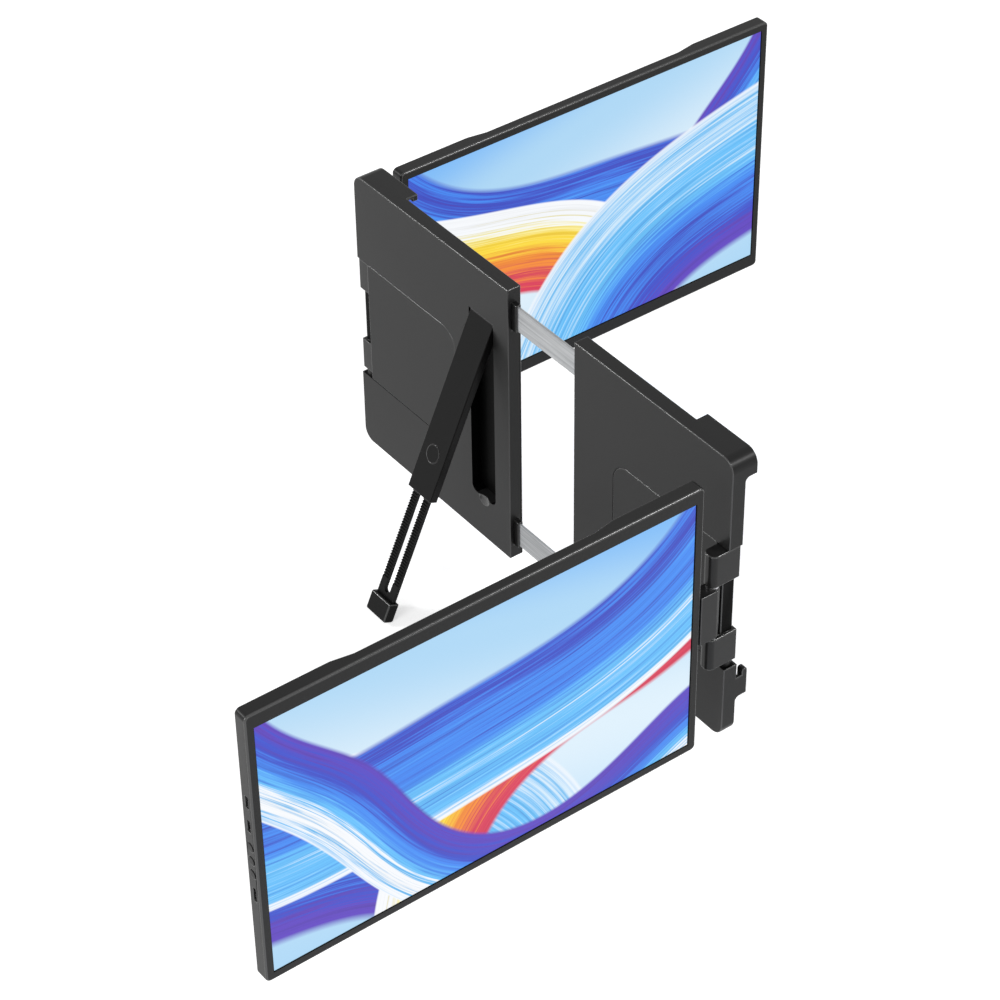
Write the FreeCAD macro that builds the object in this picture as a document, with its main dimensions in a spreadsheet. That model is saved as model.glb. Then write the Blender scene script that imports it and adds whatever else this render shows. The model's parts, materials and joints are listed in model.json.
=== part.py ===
import FreeCAD, Part
import os
import re

# Dual portable monitor set that clamps on a laptop lid.
# Frame: X to the user's right, Y away from the user, Z up, in millimetres.
# Origin: middle of the spread width, on the face the lid lies against, level with the plates' bottom edge.

doc = FreeCAD.newDocument("screen_extender")
sheet = doc.addObject("Spreadsheet::Sheet", "Sizes")

sizes = {
    # plates that go behind the laptop lid
    "plate_height": 214.9, "plate_depth": 10.3, "right_plate_width": 165.1, "left_plate_width": 147.5,
    "plate_gap": 66.3, "wall": 1.6, "plate_corner": 9.0,
    # corner bracket over the lid's top corner, and the clip at its side
    "cap_width": 45.4, "cap_thick": 2.1, "lip_reach": 8.5, "lip_thick": 4.1, "lip_drop": 2.5,
    "end_wall": 4.0, "end_wall_drop": 15.4, "clip_low": 28.0, "clip_high": 44.0, "clip_rise": 4.5,
    "clip_wall": 3.0, "clip_lip": 5.0, "pad_thick": 0.8, "pad_outer": 18.0,
    "pad_inner": 22.0, "pad_tall": 7.0, "pad_low": 88.0, "pad_drop": 25.9,
    # tray that carries the hinge
    "spacer_height": 4.1, "arm_play": 0.4, "tray_inner": 108.6, "tray_corner": 14.0, "seam": 0.2,
    "flange": 3.0, "hinge_in": 6.07, "hinge_sweep": 7.5, "boss_height": 9.0,
    # bracket with two arms, and its pins
    "arm_half": 5.15, "arm_tail": 4.6, "link": 12.15, "arm_height": 24.0, "arm_gap": 41.0,
    "tip_corner": 4.3, "spine_half": 3.1, "spine_tail": 2.5, "pin_radius": 2.0, "running": 0.05, "pin_seat": 5.0,
    "washer_thick": 1.95, "washer_radius": 4.2,
    # monitor
    "screen_width": 301.6, "screen_height": 188.6, "rim_chin": 10.4, "rim_thin": 6.0, "rim_far": 5.6,
    "rim_hinge": 5.9, "monitor_depth": 9.54, "monitor_low": 2.0, "hinge_reach": 24.6, "monitor_corner": 3.5,
    "bezel_depth": 1.6, "bezel_lip": 0.6, "screen_play": 0.3, "panel_margin": 3.5, "panel_depth": 1.6,
    "light_depth": 0.8, "shell_wall": 1.4, "back_wall": 1.2, "waist_depth": 2.5, "waist_start": 60.0,
    "waist_tail": 60.5, "waist_ramp": 14.5,
    "usb_one": 139.6, "usb_pitch": 18.2, "keys_below": 26.45, "key_pitch": 10.43, "hdmi_below": 26.75,
    "port_depth": 7.4, "usb_width": 9.0, "usb_tall": 2.9, "hdmi_width": 10.6, "hdmi_tall": 2.8,
    "port_wall": 0.3, "key_radius": 2.8, "key_length": 4.0, "key_proud": 0.3, "key_play": 0.12,
    "board_thick": 1.2, "board_width": 40.0, "board_inset": 4.4, "board_low": 40.0, "board_high": 160.0,
    "board_depth": 6.6, "far_margin": 1.2,
    "speaker_start": 8.0, "speaker_long": 22.0, "speaker_tall": 44.0, "speaker_inset": 14.0,
    "speaker_thick": 3.0, "speaker_corner": 3.0, "leaf_tongue": 2.0, "tongue_length": 32.0, "tongue_half": 17.0,
    "leaf_screw_near": 12.0, "leaf_screw_far": 26.0, "leaf_screw_rise": 11.0,
    # rails
    "rail_height": 18.0, "rail_thick": 1.6, "rail_drop": 20.9, "rail_bottom": 20.8, "rail_anchor": 42.0,
    "rail_inside": 50.0, "rail_play": 0.08, "sleeve_length": 34.5,
    "sleeve_proud": 4.5, "sleeve_height": 20.4, "sleeve_thick": 3.7, "window_play": 0.5, "anchor_length": 30.0,
    "anchor_inset": 8.0, "anchor_rim": 2.0, "anchor_screw": 8.0, "stop_length": 3.0,
    # stand
    "leg_place": 137.0, "leg_width": 24.0, "leg_thick": 6.0, "leg_length": 129.9, "leg_angle": 24.2,
    "pivot_below": 6.8, "pivot_depth": 3.2, "pivot_inset": 3.0, "recess_side": 0.7, "recess_low": 33.5,
    "recess_corner": 5.0,
    "pivot_clear": 3.3, "recess_depth": 7.6, "recess_wall": 1.1, "leg_wall": 1.3, "leg_pin": 1.5,
    "fork_width": 16.6, "fork_gap": 6.0, "fork_thick": 2.9, "fork_inset": 2.1, "fork_hidden": 38.9,
    "fork_shown": 77.5, "neck": 12.4, "tooth_pitch": 2.0, "tooth_depth": 0.7, "fork_play": 0.12,
    "foot_length": 14.0, "foot_rear": 1.1, "foot_front": 7.1, "foot_round": 2.0, "tenon": 8.0, "foot_width": 20.0,
    "slot_end": 3.4,
    "button_rise": 29.4, "button_radius": 6.0, "button_play": 0.12, "button_thick": 1.5, "button_proud": 0.3,
    "dimple_radius": 10.4, "dimple_place": 137.0, "dimple_height": 33.0, "dimple_depth": 1.7,
    "dimple_wall": 1.2, "dimple_half": 7.0,
    # screws
    "screw_radius": 1.2, "screw_head": 2.2, "screw_head_tall": 1.0, "screw_inset": 6.5,
    "screw_low": 34.8, "screw_drop": 37.0, "cove": 3.0,
}

for row, (alias, value) in enumerate(sizes.items(), start=1):
    sheet.set(f"A{row}", alias)
    sheet.set(f"B{row}", str(value))
    sheet.setAlias(f"B{row}", alias)
doc.recompute()

# Places that follow from the sizes, as expression text that may name other places
places = {
    "half_span": "((right_plate_width + plate_gap + left_plate_width) / 2)",
    "mid_depth": "(plate_depth / 2)",
    "monitor_width": "(rim_hinge + screen_width + rim_far)",
    "monitor_height": "(rim_thin + screen_height + rim_chin)",
    "monitor_middle": "(monitor_low + monitor_height / 2)",
    "gap_low": "(monitor_middle - arm_gap / 2)",
    "gap_high": "(monitor_middle + arm_gap / 2)",
    "arm_low": "(gap_low - arm_height)",
    "arm_high": "(gap_high + arm_height)",
    "tray_low": "(arm_low - spacer_height)",
    "tray_high": "(arm_high + arm_play)",
    "waist_end": "(monitor_width - waist_tail)",
    "rail_top": "(plate_height - rail_drop)",
    "pivot_height": "(rail_top - sleeve_height / 2 - pivot_below)",
    "recess_top": "(pivot_height + pivot_clear)",
    "usb_two": "(usb_one - usb_pitch)",
    "key_middle": "(usb_two - keys_below)",
    "hdmi_place": "(key_middle - hdmi_below)",
    "button_place": "(leg_length - button_rise)",
}
word = re.compile(r"[a-z_]+")


def bound(text):
    """Expression text with its places worked out and each size read from the sheet."""
    def read(found):
        name = found.group(0)
        if name in places:
            return bound(places[name])
        return "Sizes." + name if name in sizes else name
    return word.sub(read, str(text))


def new(kind, name):
    return doc.addObject(kind, name)


def bind(item, **properties):
    for key, text in properties.items():
        item.setExpression(key, bound(text))
    return item


def place(item, x, y, z):
    for axis, text in zip("xyz", (x, y, z)):
        item.setExpression(f"Placement.Base.{axis}", bound(text))
    return item


def box(x0, x1, y0, y1, z0, z1):
    item = new("Part::Box", "Block")
    bind(item, Length=f"({x1}) - ({x0})", Width=f"({y1}) - ({y0})", Height=f"({z1}) - ({z0})")
    return place(item, x0, y0, z0)


def rod(axis, radius, x, y, z, length):
    """Cylinder from (x, y, z) along axis."""
    item = new("Part::Cylinder", "Rod")
    bind(item, Radius=radius, Height=length)
    turn = {"x": FreeCAD.Rotation(FreeCAD.Vector(0, 1, 0), 90),
            "y": FreeCAD.Rotation(FreeCAD.Vector(1, 0, 0), -90),
            "z": FreeCAD.Rotation()}[axis]
    item.Placement = FreeCAD.Placement(FreeCAD.Vector(), turn)
    return place(item, x, y, z)


def ball(radius, x, y, z):
    item = new("Part::Sphere", "Ball")
    bind(item, Radius=radius)
    return place(item, x, y, z)


def fuse(*items):
    if len(items) == 1:
        return items[0]
    item = new("Part::MultiFuse", "Joined")
    item.Shapes = list(items)
    return item


def cut(base, *tools):
    item = new("Part::Cut", "Cut")
    item.Base = base
    item.Tool = fuse(*tools)
    return item


def group(*items):
    """Several like pieces in one node, each a solid of its own."""
    item = new("Part::Compound", "Group")
    item.Links = list(items)
    return item


def rounded(base, axis, radius, keep=lambda middle: True):
    """Fillet of the straight edges along one axis whose middle passes keep."""
    doc.recompute()
    direction = {"x": FreeCAD.Vector(1, 0, 0), "y": FreeCAD.Vector(0, 1, 0), "z": FreeCAD.Vector(0, 0, 1)}[axis]
    chosen = []
    for number, edge in enumerate(base.Shape.Edges, start=1):
        if edge.Curve.TypeId != "Part::GeomLine":
            continue
        along = edge.Vertexes[-1].Point.sub(edge.Vertexes[0].Point).normalize()
        if abs(along.dot(direction)) > 0.999 and keep(edge.CenterOfMass):
            chosen.append((number, radius, radius))
    item = new("Part::Fillet", "Rounded")
    item.Base = base
    item.Edges = chosen
    return item


def prism(corners, along):
    """Straight-sided block from a closed outline, for slopes that a box can't give."""
    item = new("Part::Feature", "Prism")
    points = [FreeCAD.Vector(*corner) for corner in corners]
    item.Shape = Part.Face(Part.makePolygon(points + points[:1])).extrude(FreeCAD.Vector(*along))
    return item


subparts = []


def finish(name, item):
    item.Label = name
    subparts.append((name, item))
    return item


plate_width = {"right": "right_plate_width", "left": "left_plate_width"}
sides = ("right", "left")

# The same places as numbers, to pick edges by
half = (sizes["right_plate_width"] + sizes["plate_gap"] + sizes["left_plate_width"]) / 2
tray_start = half - sizes["tray_inner"] + 1
pin_depth = sizes["plate_depth"] / 2
pivot_level = (sizes["plate_height"] - sizes["rail_drop"] - sizes["sleeve_height"] / 2
               - sizes["pivot_below"])
far_reach = sizes["hinge_reach"] + sizes["rim_hinge"] + sizes["screen_width"] + sizes["rim_far"]


def across(side, p):
    """X of a place p inward from the plate's outer end."""
    return f"(half_span - ({p}))" if side == "right" else f"(-half_span + ({p}))"


def side_box(side, p0, p1, y0, y1, z0, z1):
    if side == "right":
        return box(across(side, p1), across(side, p0), y0, y1, z0, z1)
    return box(across(side, p0), across(side, p1), y0, y1, z0, z1)


def outward(side):
    return 1 if side == "right" else -1


def outer_edge(side):
    """Test for edges on the plate's outer end."""
    limit = half - sizes["plate_corner"] / 2
    return lambda middle: middle.x * outward(side) > limit


# Plates


def rear_cover(side):
    width = plate_width[side]
    inner_corner = sizes["plate_corner"] - sizes["wall"]
    outside = rounded(side_box(side, "0", width, "wall", "plate_depth", "0", "plate_height"),
                      "y", sizes["plate_corner"], outer_edge(side))
    hollow = rounded(side_box(side, "wall", f"{width} - wall", "0", "plate_depth - wall", "wall",
                              "plate_height - wall"), "y", inner_corner, outer_edge(side))
    solid = cut(outside, hollow)
    extras = []
    for z0, z1 in (("tray_low - boss_height", "tray_low - seam"), ("tray_high + seam", "tray_high + boss_height")):
        extras.append(side_box(side, "wall / 2", "hinge_in + pin_radius * 3", "wall", "plate_depth - wall / 2",
                               z0, z1))
    for p in ("screw_inset + 3", f"{width} - screw_inset"):
        for z in ("screw_low", "plate_height - screw_drop"):
            extras.append(rod("y", "screw_head", across(side, p), "wall", z, "plate_depth - wall * 1.5"))
    if side == "right":
        extras.append(box(across(side, "leg_place + leg_width / 2 + recess_side + recess_wall"),
                          across(side, "leg_place - leg_width / 2 - recess_side - recess_wall"),
                          "plate_depth - recess_depth - recess_wall", "plate_depth - wall / 2",
                          "recess_low - recess_wall", "recess_top + recess_wall"))
        extras.append(box(across(side, "dimple_place + dimple_half"), across(side, "dimple_place - dimple_half"),
                          "plate_depth - dimple_depth - dimple_wall", "plate_depth - wall / 2",
                          "dimple_height - dimple_half", "recess_low"))
    solid = fuse(solid, *extras)
    tools = [side_box(side, "-1", "tray_inner + seam", "plate_depth - wall", "plate_depth + 1",
                      "tray_low - seam", "tray_high + seam"),
             side_box(side, "-1", "hinge_in + hinge_sweep + wall * 2", "0", "plate_depth + 1",
                      "tray_low - seam", "tray_high + seam"),
             rod("z", "pin_radius", across(side, "hinge_in"), "mid_depth", "tray_low - pin_seat",
                 "tray_high - tray_low + pin_seat * 2")]
    tools[0] = rounded(tools[0], "y", sizes["tray_corner"],
                       lambda middle: middle.x * outward(side) < tray_start)
    play = "0" if side == "right" else "window_play"
    for middle in ("rail_top", "rail_bottom"):
        tools.append(side_box(side, f"{width} - wall * 2", f"{width} + 1",
                              f"mid_depth - sleeve_thick / 2 - {play}", f"mid_depth + sleeve_thick / 2 + {play}",
                              f"{middle} - sleeve_height / 2 - {play}", f"{middle} + sleeve_height / 2 + {play}"))
    for p in ("screw_inset + 3", f"{width} - screw_inset"):
        for z in ("screw_low", "plate_height - screw_drop"):
            tools.append(rod("y", "screw_radius", across(side, p), "0", z, "plate_depth - wall * 1.6"))
    if side == "right":
        well = box(across(side, "leg_place + leg_width / 2 + recess_side"),
                   across(side, "leg_place - leg_width / 2 - recess_side"),
                   "plate_depth - recess_depth", "plate_depth + 1", "recess_low", "recess_top")
        low_edge = sizes["recess_low"] + 1
        tools.append(rounded(well, "y", sizes["recess_corner"], lambda middle: middle.z < low_edge))
        tools.append(ball("dimple_radius", across(side, "dimple_place"),
                          "plate_depth + dimple_radius - dimple_depth", "dimple_height"))
        tools.append(rod("x", "leg_pin", across(side, "leg_place + leg_width / 2 + recess_side + recess_wall + 1"),
                         "plate_depth - pivot_depth", "pivot_height",
                         "leg_width + recess_side * 2 + recess_wall * 2 + 2"))
    return finish(f"{side}_rear_cover", cut(solid, *tools))


def cove(side, width, top):
    """Hollow fillet between the panel and the underside of a wall that stands on it."""
    block = side_box(side, "0", width, "-cove", "wall / 2", f"{top} - cove", top)
    return cut(block, rod("x", "cove", across(side, width if side == "right" else "0"), "-cove",
                          f"{top} - cove", width))


def front_shell(side):
    width = plate_width[side]
    panel = rounded(side_box(side, "0", width, "0", "wall", "0", "plate_height"),
                    "y", sizes["plate_corner"], outer_edge(side))
    cap = side_box(side, "0", "cap_width", "-lip_reach", "wall / 2", "plate_height - cap_thick", "plate_height")
    lip = side_box(side, "0", "cap_width", "-lip_reach", "lip_thick - lip_reach",
                   "plate_height - cap_thick - lip_drop", "plate_height")
    end = side_box(side, "0", "end_wall", "-lip_reach", "wall / 2", "plate_height - end_wall_drop", "plate_height")
    corner = rounded(fuse(cap, lip, end), "y", sizes["plate_corner"],
                     lambda middle: middle.z > sizes["plate_height"] - 1 and outer_edge(side)(middle))
    clip_wall = side_box(side, "0", "clip_wall", "-lip_reach", "wall / 2", "clip_low", "clip_high")
    clip_lip = side_box(side, "0", "clip_lip", "-lip_reach", "lip_thick - lip_reach", "clip_low",
                        "clip_high + clip_rise")
    clip = rounded(fuse(clip_wall, clip_lip), "x", 1.8,
                   lambda middle: middle.z > sizes["clip_high"] + 1)
    coves = [cove(side, "end_wall", "plate_height - end_wall_drop"), cove(side, "clip_wall", "clip_low")]
    solid = fuse(panel, corner, clip, *coves)
    doorway = side_box(side, "-1", "hinge_in", "-1", "wall + 1", "tray_low - seam", "tray_high + seam")
    sweep = rod("z", "hinge_sweep", across(side, "hinge_in"), "mid_depth", "tray_low - seam",
                "tray_high - tray_low + seam * 2")
    tools = [doorway, sweep]
    for p in ("screw_inset + 3", f"{width} - screw_inset"):
        for z in ("screw_low", "plate_height - screw_drop"):
            tools.append(rod("y", "screw_radius + 0.1", across(side, p), "-1", z, "wall + 2"))
            tools.append(rod("y", "screw_head + 0.1", across(side, p), "-1", z, "screw_head_tall + 1"))
    return finish(f"{side}_front_shell", cut(solid, *tools))


def hinge_tray(side):
    tray_end = "hinge_in + hinge_sweep + wall * 2 - seam"
    plate = side_box(side, "hinge_in", "tray_inner", "plate_depth - wall", "plate_depth", "tray_low", "tray_high")
    plate = rounded(plate, "y", sizes["tray_corner"],
                    lambda middle: middle.x * outward(side) < tray_start)
    flange = side_box(side, "hinge_in + hinge_sweep", "tray_inner + flange", "plate_depth - wall * 1.8",
                      "plate_depth - wall", "tray_low - flange + 1", "tray_high + flange - 1")
    flange = cut(flange, side_box(side, "0", tray_end + " + 1", "0", "plate_depth", "0", "tray_low"),
                 side_box(side, "0", tray_end + " + 1", "0", "plate_depth", "tray_high", "plate_height"))
    block = side_box(side, "hinge_in", tray_end, "wall", "plate_depth", "tray_low", "tray_high")
    sweep = rod("z", "hinge_sweep", across(side, "hinge_in"), "mid_depth", "0", "plate_height")
    return finish(f"{side}_hinge_tray", cut(fuse(plate, flange, block), sweep))


def rail_bar(p0, p1, middle, play="0"):
    """Block on a rail's section, grown by play all round it; p is measured in the right plate."""
    return box(across("right", p1), across("right", p0), f"mid_depth - rail_thick / 2 - {play}",
               f"mid_depth + rail_thick / 2 + {play}", f"{middle} - rail_height / 2 - {play}",
               f"{middle} + rail_height / 2 + {play}")


def rail_sleeves():
    end = "right_plate_width + sleeve_proud"
    sleeves = []
    for middle in ("rail_top", "rail_bottom"):
        outer = side_box("right", f"{end} - sleeve_length", end, "mid_depth - sleeve_thick / 2",
                         "mid_depth + sleeve_thick / 2", f"{middle} - sleeve_height / 2",
                         f"{middle} + sleeve_height / 2")
        sleeves.append(cut(outer, rail_bar("0", f"{end} + 1", middle, "rail_play")))
    return finish("rail_sleeves", group(*sleeves))


def rail_anchors():
    end = "left_plate_width - anchor_inset"
    anchors = []
    for middle in ("rail_top", "rail_bottom"):
        outer = side_box("left", f"{end} - anchor_length", end, "wall", "plate_depth - wall",
                         f"{middle} - rail_height / 2 - anchor_rim", f"{middle} + rail_height / 2 + anchor_rim")
        bore = side_box("left", "0", f"{end} + 1", "mid_depth - rail_thick / 2", "mid_depth + rail_thick / 2",
                        f"{middle} - rail_height / 2", f"{middle} + rail_height / 2")
        anchors.append(cut(outer, bore, anchor_rod(middle)))
    return finish("rail_anchors", group(*anchors))


def anchor_rod(middle):
    return rod("y", "screw_radius", across("left", "left_plate_width - rail_anchor + anchor_screw"), "wall", middle,
               "plate_depth - wall * 2")


def rail_stops():
    start = "right_plate_width - rail_inside"
    stops = []
    for middle in ("rail_top", "rail_bottom"):
        outer = side_box("right", start, f"{start} + stop_length", "mid_depth - sleeve_thick / 2",
                         "mid_depth + sleeve_thick / 2", f"{middle} - sleeve_height / 2",
                         f"{middle} + sleeve_height / 2")
        stops.append(cut(outer, rail_bar("0", "right_plate_width", middle)))
    return finish("rail_stops", group(*stops))


def lid_pads(side):
    pads = [side_box(side, "pad_outer", f"{plate_width[side]} - pad_inner", "-pad_thick", "0", z, f"{z} + pad_tall")
            for z in ("plate_height - pad_drop", "pad_low")]
    return finish(f"{side}_lid_pads", group(*pads))


def shell_screws(side):
    screws = []
    for p in ("screw_inset + 3", f"{plate_width[side]} - screw_inset"):
        for z in ("screw_low", "plate_height - screw_drop"):
            head = rod("y", "screw_head", across(side, p), "0", z, "screw_head_tall")
            shank = rod("y", "screw_radius", across(side, p), "0", z, "5.6")
            socket = rod("y", "0.8", across(side, p), "-1", z, "1.6")
            screws.append(cut(fuse(head, shank), socket))
    return finish(f"{side}_shell_screws", group(*screws))


def plate_pin(side):
    pin = rod("z", "pin_radius", across(side, "hinge_in"), "mid_depth", "tray_low - pin_seat",
              "tray_high - tray_low + pin_seat * 2")
    return finish(f"{side}_plate_pin", pin)


def pin_spacer(side):
    outer = rod("z", "washer_radius", across(side, "hinge_in"), "mid_depth", "tray_low", "arm_low - tray_low - 0.05")
    bore = rod("z", "pin_radius", across(side, "hinge_in"), "mid_depth", "0", "plate_height")
    return finish(f"{side}_pin_spacer", cut(outer, bore))


# Bracket: the arms point away from the user on the left side and towards the user on the right side


def arm_sign(side):
    return 1 if side == "left" else -1


def along(side, distance):
    """Y of a place at a distance from the plate pin towards the monitor."""
    return f"(mid_depth + ({distance}))" if side == "left" else f"(mid_depth - ({distance}))"


def arm_box(side, half, d0, d1, z0, z1):
    low, high = (d0, d1) if side == "left" else (d1, d0)
    centre = across(side, "hinge_in")
    return box(f"{centre} - {half}", f"{centre} + {half}", along(side, low), along(side, high), z0, z1)


def hinge_bracket(side):
    arms = []
    for z0, z1 in (("arm_low", "gap_low"), ("gap_high", "arm_high")):
        arm = arm_box(side, "arm_half", "-arm_tail", "link + arm_half - 0.5", z0, z1)
        tip = pin_depth + sizes["link"] * arm_sign(side)
        arms.append(rounded(arm, "z", sizes["tip_corner"],
                            lambda middle, tip=tip: (middle.y - tip) * arm_sign(side) > 0))
    spine = arm_box(side, "spine_half", "-spine_tail", "link - arm_half", "arm_low", "arm_high")
    bores = [rod("z", "pin_radius + running", across(side, "hinge_in"), "mid_depth", "0", "plate_height"),
             rod("z", "pin_radius", across(side, "hinge_in"), along(side, "link"),
                 "gap_low - 10", "arm_gap + 20")]
    return finish(f"{side}_hinge_bracket", cut(fuse(*arms, spine), *bores))


def monitor_pin(side):
    pin = rod("z", "pin_radius", across(side, "hinge_in"), along(side, "link"), "gap_low - 10", "arm_gap + 20")
    return finish(f"{side}_monitor_pin", pin)


def hinge_washers(side):
    washers = []
    for z in ("gap_low", "gap_high - washer_thick"):
        outer = rod("z", "washer_radius", across(side, "hinge_in"), along(side, "link"), z, "washer_thick")
        bore = rod("z", "pin_radius", across(side, "hinge_in"), along(side, "link"), "0", "plate_height")
        washers.append(cut(outer, bore))
    return finish(f"{side}_hinge_washers", group(*washers))


# Monitor: w runs from the hinge edge, t back from the front face, and up from the thin rim


def monitor_y(side, w):
    return f"(mid_depth + hinge_reach + ({w}))" if side == "left" else f"(mid_depth - hinge_reach - ({w}))"


def monitor_x(side, t):
    return f"({across(side, 'hinge_in')} - monitor_depth / 2 + ({t}))"


def monitor_z(side, up):
    if side == "left":
        return f"(monitor_low + ({up}))"
    return f"(monitor_low + monitor_height - ({up}))"


def monitor_box(side, w0, w1, t0, t1, up0, up1):
    if side == "left":
        return box(monitor_x(side, t0), monitor_x(side, t1), monitor_y(side, w0), monitor_y(side, w1),
                   monitor_z(side, up0), monitor_z(side, up1))
    return box(monitor_x(side, t0), monitor_x(side, t1), monitor_y(side, w1), monitor_y(side, w0),
               monitor_z(side, up1), monitor_z(side, up0))


def bezel(side):
    frame = rounded(monitor_box(side, "0", "monitor_width", "0", "bezel_depth", "0", "monitor_height"),
                    "x", sizes["monitor_corner"])
    window = monitor_box(side, "rim_hinge - screen_play", "rim_hinge + screen_width + screen_play", "-1",
                         "bezel_depth + 1", "rim_thin - screen_play", "rim_thin + screen_height + screen_play")
    seat = monitor_box(side, "rim_hinge - panel_margin - seam", "rim_hinge + screen_width + far_margin + seam",
                       "bezel_lip", "bezel_depth + 1", "rim_thin - panel_margin - seam",
                       "rim_thin + screen_height + panel_margin + seam")
    return finish(f"{side}_bezel", cut(frame, window, seat))


def back_shell(side):
    outside = rounded(monitor_box(side, "0", "monitor_width", "bezel_depth", "monitor_depth", "0", "monitor_height"),
                      "x", sizes["monitor_corner"])
    hollow = rounded(monitor_box(side, "shell_wall", "monitor_width - shell_wall", "0",
                                 "monitor_depth - back_wall - waist_depth", "shell_wall",
                                 "monitor_height - shell_wall"),
                     "x", sizes["monitor_corner"] - sizes["shell_wall"])
    pockets = [monitor_box(side, "shell_wall", "waist_start - 3", "bezel_depth", "monitor_depth - back_wall",
                           "shell_wall + 3", "monitor_height - shell_wall - 3"),
               monitor_box(side, "waist_end + 3", "monitor_width - shell_wall", "bezel_depth",
                           "monitor_depth - back_wall", "shell_wall + 3", "monitor_height - shell_wall - 3")]
    waist = new("Part::Wedge", "Waist")
    length = "(waist_end - waist_start)"
    over = "(waist_ramp / waist_depth)"
    bind(waist, Xmin="waist_ramp", Xmax=f"{length} - waist_ramp", X2min=f"-{over}", X2max=f"{length} + {over}",
         Ymin="0", Ymax="waist_depth + 1", Zmin="-1", Zmax="monitor_height + 1", Z2min="-1",
         Z2max="monitor_height + 1")
    waist.Placement = FreeCAD.Placement(FreeCAD.Vector(), FreeCAD.Rotation(FreeCAD.Vector(0, 0, 1), -90))
    start = "waist_end" if side == "left" else "waist_start"
    place(waist, monitor_x(side, "monitor_depth - waist_depth"), monitor_y(side, start), "monitor_low")
    openings = [monitor_box(side, "-1", "shell_wall + 1", "monitor_depth / 2 - leaf_tongue / 2",
                            "monitor_depth / 2 + leaf_tongue / 2", "monitor_height / 2 - tongue_half",
                            "monitor_height / 2 + tongue_half")]
    for place_up, wide, tall in (("usb_one", "usb_width", "usb_tall"), ("usb_two", "usb_width", "usb_tall"),
                                 ("hdmi_place", "hdmi_width", "hdmi_tall")):
        port = monitor_box(side, "monitor_width - shell_wall - 1", "monitor_width + 1",
                           f"monitor_depth / 2 - {tall} / 2", f"monitor_depth / 2 + {tall} / 2",
                           f"{place_up} - {wide} / 2", f"{place_up} + {wide} / 2")
        openings.append(rounded(port, "y", sizes["usb_tall"] * 0.4))
    for step in (-1, 0, 1):
        openings.append(key_rod(side, step, "key_radius + key_play", "shell_wall + 1", "1"))
    return finish(f"{side}_back_shell", cut(outside, hollow, *pockets, waist, *openings))


def key_rod(side, step, radius, inside, proud):
    """Round bar through the far wall, from inside the wall's outer face to proud of it."""
    if side == "left":
        start = monitor_y(side, f"monitor_width - ({inside})")
    else:
        start = monitor_y(side, f"monitor_width + ({proud})")
    return rod("y", radius, monitor_x(side, "monitor_depth / 2"), start,
               monitor_z(side, f"key_middle + key_pitch * {step}"), f"({inside}) + ({proud})")


def lcd_panel(side):
    panel = monitor_box(side, "rim_hinge - panel_margin", "rim_hinge + screen_width + far_margin", "bezel_lip",
                        "bezel_lip + panel_depth", "rim_thin - panel_margin",
                        "rim_thin + screen_height + panel_margin")
    return finish(f"{side}_lcd_panel", panel)


def backlight(side):
    plate = monitor_box(side, "rim_hinge - panel_margin", "rim_hinge + screen_width + far_margin",
                        "bezel_lip + panel_depth", "bezel_lip + panel_depth + light_depth",
                        "rim_thin - panel_margin", "rim_thin + screen_height + panel_margin")
    return finish(f"{side}_backlight", plate)


def main_board(side):
    far = "monitor_width - board_inset"
    board = monitor_box(side, f"{far} - board_width", far, "board_depth", "board_depth + board_thick",
                        "board_low", "board_high")
    return finish(f"{side}_main_board", board)


def port_shell(side, place_up, wide, tall):
    near = "monitor_width - shell_wall"
    middle = "monitor_depth / 2"
    outer = monitor_box(side, f"{near} - port_depth", near, f"{middle} - {tall} / 2 - port_wall",
                        "board_depth",
                        f"{place_up} - {wide} / 2 - port_wall", f"{place_up} + {wide} / 2 + port_wall")
    mouth = monitor_box(side, f"{near} - port_depth + 1", f"{near} + 1", f"{middle} - {tall} / 2",
                        f"{middle} + {tall} / 2", f"{place_up} - {wide} / 2", f"{place_up} + {wide} / 2")
    tongue = monitor_box(side, f"{near} - port_depth + 0.5", f"{near} - 0.6", f"{middle} - 0.4", f"{middle} + 0.4",
                         f"{place_up} - {wide} * 0.36", f"{place_up} + {wide} * 0.36")
    return fuse(cut(outer, mouth), tongue)


def usb_sockets(side):
    return finish(f"{side}_usb_sockets", group(*[port_shell(side, where, "usb_width", "usb_tall")
                                                 for where in ("usb_one", "usb_two")]))


def hdmi_socket(side):
    return finish(f"{side}_hdmi_socket", port_shell(side, "hdmi_place", "hdmi_width", "hdmi_tall"))


def side_keys(side):
    for number, step in enumerate((-1, 0, 1), start=1):
        cap = key_rod(side, step, "key_radius", "key_length - key_proud", "key_proud")
        end = pin_depth + (far_reach + sizes["key_proud"]) * arm_sign(side)
        doc.recompute()
        item = new("Part::Fillet", "Dome")
        item.Base = cap
        item.Edges = [(index, 0.5, 0.5) for index, edge in enumerate(cap.Shape.Edges, start=1)
                      if edge.Closed and abs(edge.CenterOfMass.y - end) < 0.01]
        finish(f"{side}_key_{number}", item)


def key_switches(side):
    inner = "monitor_width - key_length + key_proud - 0.8"
    switches = [monitor_box(side, f"{inner} - 2.6", inner, "monitor_depth / 2 - 1.6",
                            "board_depth",
                            f"key_middle + key_pitch * {step} - 2.2", f"key_middle + key_pitch * {step} + 2.2")
                for step in (-1, 0, 1)]
    return finish(f"{side}_key_switches", group(*switches))


def speakers(side):
    start = "monitor_depth - back_wall"
    boxes = [rounded(monitor_box(side, "speaker_start", "speaker_start + speaker_long", f"{start} - speaker_thick",
                                 start, up, f"{up} + speaker_tall"), "x", sizes["speaker_corner"])
             for up in ("speaker_inset", "monitor_height - speaker_inset - speaker_tall")]
    return finish(f"{side}_speakers", group(*boxes))


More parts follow.
